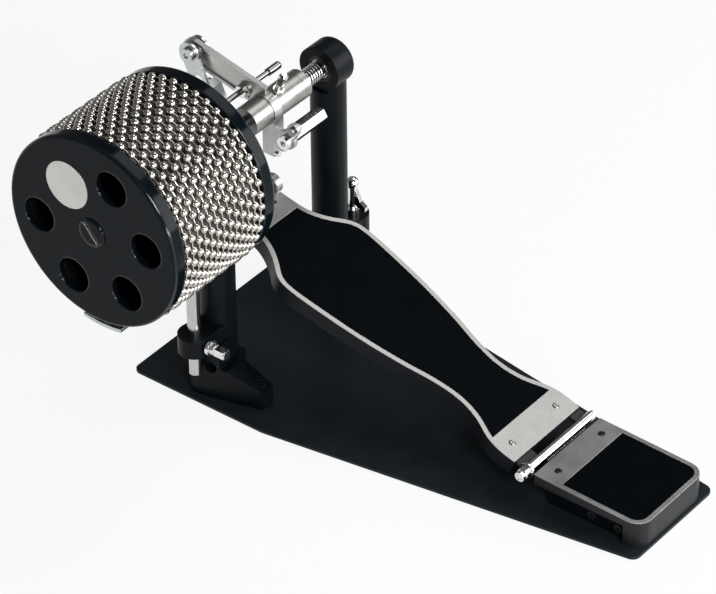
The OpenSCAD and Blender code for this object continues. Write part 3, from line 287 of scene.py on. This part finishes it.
FINISHES = {
    powder_coat: ["base_plate"],
    enamel: ["near_foot", "far_foot", "near_post", "far_post", "heel_riser"],
    moulded_abs: ["front_disc", "rear_disc", "centre_cap", "drum_core"],
    black_oxide: ["foot_screws", "heel_screws", "toe_pin", "toe_clips", "heel_pins"],
    rubber: ["board_grip", "heel_grip"],
    chrome: ["hinge_pin", "hinge_washer", "hinge_nut", "bar_screw", "hub_screw",
             "clamp_screw", "wing_bolt", "rod_nuts", "bracket_screws", "shoe_screw"],
    hinge_plate: ["heel_leaf", "board_leaf"],
    satin_chrome: ["presser_rod"],
    dark_chrome: ["drive_rod", "rod_cap", "hub_bar", "bar_pin", "toe_spacers", "board_pins"],
    ground_steel: ["axle_shaft"],
    turned: ["hub_tube", "near_collar", "end_collar"],
    cast_aluminium: ["rocker_arm"],
    brushed_steel: ["hub_bracket"],
    zinc: ["link", "pivot_bolt", "pivot_nut", "plate_screws", "presser_shoe"],
    shade_darkened_zinc: ["drum_shell"],
    bearing_steel: ["axle_bearings"],
    ground: ["footboard"],
    anodised: ["heel_block"],
    badge_metal: ["badge_plate"],
}
for finish, names in FINISHES.items():
    for name in names:
        nodes[name].data.materials.clear()
        nodes[name].data.materials.append(finish)


# Pieces that are finer than their CAD nodes, with sizes in mm
def smooth_object(mesh, material):
    mesh.polygons.foreach_set("use_smooth", [True] * len(mesh.polygons))
    mesh.materials.append(material)
    made = bpy.data.objects.new(mesh.name, mesh)
    bpy.context.collection.objects.link(made)
    return made


def mesh_piece(name, points, faces, material, body):
    mesh = bpy.data.meshes.new(name)
    mesh.from_pydata([Vector(p) * MM for p in points], [], faces)
    piece = smooth_object(mesh, material)
    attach(piece, body)
    return piece


def radial(turn):
    """Unit vector away from the axle."""
    return Vector((math.cos(turn), 0, math.sin(turn)))


# Ball chains: thirteen loops round the drum, each ball staggered against the next loop
LOOPS = 13
LOOP_PITCH = 5.9
FIRST_LOOP_Y = -161.75
LOOP_R = 64.8
BALLS = 47
BALL_R = 2.9
WIRE_R = 0.65
BALL_RINGS, BALL_SIDES = 9, 14
WIRE_STEPS, WIRE_SIDES = 188, 6


def ball(centre, along, out):
    """Points of a ball whose poles lie on the wire, ring by ring."""
    side = along.cross(out)
    points = [centre - BALL_R * along]
    for ring in range(1, BALL_RINGS):
        tilt = math.pi * ring / BALL_RINGS
        for k in range(BALL_SIDES):
            turn = math.tau * k / BALL_SIDES
            around = math.cos(turn) * out + math.sin(turn) * side
            points.append(centre + BALL_R * (-math.cos(tilt) * along + math.sin(tilt) * around))
    return points + [centre + BALL_R * along]


def ball_faces(start):
    """Faces of a ball whose points begin at start."""
    last = start + (BALL_RINGS - 1) * BALL_SIDES + 1
    faces = []
    for k in range(BALL_SIDES):
        nxt = (k + 1) % BALL_SIDES
        faces.append((start, start + 1 + nxt, start + 1 + k))
        for ring in range(BALL_RINGS - 2):
            low, high = start + 1 + ring * BALL_SIDES, start + 1 + (ring + 1) * BALL_SIDES
            faces.append((low + k, low + nxt, high + nxt, high + k))
        base = last - BALL_SIDES
        faces.append((base + k, base + nxt, last))
    return faces


def ball_chains():
    points, faces = [], []
    for loop in range(LOOPS):
        y = FIRST_LOOP_Y + LOOP_PITCH * loop
        for k in range(BALLS):
            turn = math.tau * (k + 0.5 * (loop % 2)) / BALLS
            out = radial(turn)
            along = Vector((-math.sin(turn), 0, math.cos(turn)))
            faces += ball_faces(len(points))
            points += ball(Vector((0, y, AXLE_Z)) + LOOP_R * out, along, out)
        start = len(points)
        for step in range(WIRE_STEPS):
            turn = math.tau * step / WIRE_STEPS
            out = radial(turn)
            for k in range(WIRE_SIDES):
                lean = math.tau * k / WIRE_SIDES
                middle = Vector((0, y + WIRE_R * math.sin(lean), AXLE_Z))
                points.append(middle + (LOOP_R + WIRE_R * math.cos(lean)) * out)
                nxt, side = (step + 1) % WIRE_STEPS, (k + 1) % WIRE_SIDES
                faces.append((start + step * WIRE_SIDES + k, start + step * WIRE_SIDES + side,
                              start + nxt * WIRE_SIDES + side, start + nxt * WIRE_SIDES + k))
    return mesh_piece("ball_chains", points, faces, nickel, "beads")


chains = ball_chains()
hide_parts("bead_loops")


# Return spring: round drawn wire wound about the axle, in steps to a turn and sides to the wire
SPRING_R = 5.5
SPRING_WIRE_R = 0.7
SPRING_TURNS = 7
SPRING_STEPS = 36
SPRING_SIDES = 12
SPRING_Y = (31.1, 47.9)


def return_spring():
    rise = (SPRING_Y[1] - SPRING_Y[0]) / SPRING_TURNS
    round_r = math.tau * SPRING_R
    points, faces = [], []
    count = SPRING_TURNS * SPRING_STEPS + 1
    for step in range(count):
        turn = math.tau * step / SPRING_STEPS
        out = radial(turn)
        along = Vector((-round_r * math.sin(turn), rise, round_r * math.cos(turn))).normalized()
        side = along.cross(out)
        centre = Vector((0, SPRING_Y[0] + rise * step / SPRING_STEPS, AXLE_Z)) + SPRING_R * out
        for k in range(SPRING_SIDES):
            lean = math.tau * k / SPRING_SIDES
            points.append(centre + SPRING_WIRE_R * (math.cos(lean) * out + math.sin(lean) * side))
            if step:
                nxt = (k + 1) % SPRING_SIDES
                low, high = (step - 1) * SPRING_SIDES, step * SPRING_SIDES
                faces.append((low + k, low + nxt, high + nxt, high + k))
    faces.append(tuple(range(SPRING_SIDES))[::-1])
    faces.append(tuple(range((count - 1) * SPRING_SIDES, count * SPRING_SIDES)))
    return mesh_piece("spring_coil", points, faces, spring_steel, "root")


coil = return_spring()
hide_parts("return_spring")


# Felt pad: a soft-edged strip bent round the shoe's arc
PAD_R = (68.15, 72.0)
PAD_HALF_WIDTH = 14.4
PAD_Y = (-163.1, -89.6)
PAD_EDGE = 1.1
PAD_CELLS = (18, 46, 5)
PAD_WELD = 0.01


def felt_pad():
    """The strip is a rounded block first: across the shoe, along the axle and through its thickness."""
    middle_r = sum(PAD_R) / 2
    half = (PAD_HALF_WIDTH, (PAD_Y[1] - PAD_Y[0]) / 2, (PAD_R[1] - PAD_R[0]) / 2)
    shape = bmesh.new()
    for axis in range(3):
        u, v = (axis + 1) % 3, (axis + 2) % 3
        for side in (-1, 1):
            grid = []
            for i in range(PAD_CELLS[u] + 1):
                row = []
                for j in range(PAD_CELLS[v] + 1):
                    at = Vector((0, 0, 0))
                    at[axis] = side * half[axis]
                    at[u] = (2 * i / PAD_CELLS[u] - 1) * half[u]
                    at[v] = (2 * j / PAD_CELLS[v] - 1) * half[v]
                    core = Vector([max(PAD_EDGE - h, min(h - PAD_EDGE, c)) for h, c in zip(half, at)])
                    at = core + PAD_EDGE * (at - core).normalized()
                    turn = math.asin(at[0] / middle_r)
                    low_z = AXLE_Z - (middle_r + at[2]) * math.cos(turn)
                    bent = Vector((middle_r * math.sin(turn), sum(PAD_Y) / 2 + at[1], low_z))
                    row.append(shape.verts.new(bent * MM))
                grid.append(row)
            for low, high in zip(grid, grid[1:]):
                for j in range(PAD_CELLS[v]):
                    shape.faces.new((low[j], high[j], high[j + 1], low[j + 1])[::side])
    bmesh.ops.remove_doubles(shape, verts=shape.verts, dist=PAD_WELD * MM)
    bmesh.ops.recalc_face_normals(shape, faces=shape.faces)
    mesh = bpy.data.meshes.new("felt_pad")
    shape.to_mesh(mesh)
    shape.free()
    piece = smooth_object(mesh, felt)
    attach(piece, "presser")
    return piece


pad = felt_pad()
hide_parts("shoe_pad")


# Studio: pale floor and soft lamps, in metres and watts
FLOOR_HALF = 6
FLOOR_Z = -0.0002
GLOW_SHARE = 0.88
SKY_STRENGTH = 0.27
LAMPS_AIM = (0.1, -0.03, 0.1)

corners = [(x * FLOOR_HALF, y * FLOOR_HALF, FLOOR_Z) for x, y in ((-1, -1), (1, -1), (1, 1), (-1, 1))]
floor_mesh = bpy.data.meshes.new("floor")
floor_mesh.from_pydata(corners, [], [(0, 1, 2, 3)])
floor = bpy.data.objects.new("floor", floor_mesh)
bpy.context.collection.objects.link(floor)

# Paper that looks white to the camera and in reflections, and takes the part's shadow with what is left
paper = bpy.data.materials.new("white_paper")
paper.use_nodes = True
tree = paper.node_tree
tree.nodes.remove(tree.nodes["Principled BSDF"])
rays = add(tree, "ShaderNodeLightPath")
seen = add(tree, "ShaderNodeMath", {0: (rays, "Is Camera Ray"), 1: (rays, "Is Glossy Ray")},
           operation="MAXIMUM")
shown = add(tree, "ShaderNodeMath", {0: (seen, "Value"), 1: (rays, "Is Transmission Ray")},
            operation="MAXIMUM")
share = add(tree, "ShaderNodeMath", {0: (shown, "Value")}, operation="MULTIPLY")
share.inputs[1].default_value = GLOW_SHARE
lit = add(tree, "ShaderNodeBsdfDiffuse", Color=linear("#f4f5f5"))
glow = add(tree, "ShaderNodeEmission", Color=linear("#fcfdfd"), Strength=1)
mixed = add(tree, "ShaderNodeMixShader", {0: (share, "Value"), 1: (lit, "BSDF"), 2: (glow, "Emission")})
tree.links.new(mixed.outputs["Shader"], tree.nodes["Material Output"].inputs["Surface"])
floor_mesh.materials.append(paper)

world = bpy.data.worlds.new("studio")
world.use_nodes = True
sky = world.node_tree.nodes["Background"]
sky.inputs["Color"].default_value = linear("#c9cbcd")
sky.inputs["Strength"].default_value = SKY_STRENGTH
bpy.context.scene.world = world


def softbox(name, at, size, watts):
    data = bpy.data.lights.new(name, "AREA")
    data.shape, data.size, data.size_y, data.energy = "RECTANGLE", *size, watts
    lamp = bpy.data.objects.new(name, data)
    lamp.location = at
    lamp.rotation_euler = (Vector(LAMPS_AIM) - Vector(at)).to_track_quat("-Z", "Y").to_euler()
    bpy.context.collection.objects.link(lamp)


softbox("key_softbox", (1.6, 1.1, 0.72), (1.6, 1.2), 36)
softbox("overhead_softbox", (0.25, 1.1, 2.2), (1.3, 1.3), 14)
softbox("front_softbox", (2.0, -1.2, 1.5), (0.8, 0.8), 42)
softbox("edge_strip", (2.0, 0.2, 0.3), (0.1, 1.2), 12)
softbox("rim_strip", (1.9, -0.8, 0.3), (0.9, 0.2), 10)

view = bpy.context.scene.view_settings
view.view_transform = "Standard"
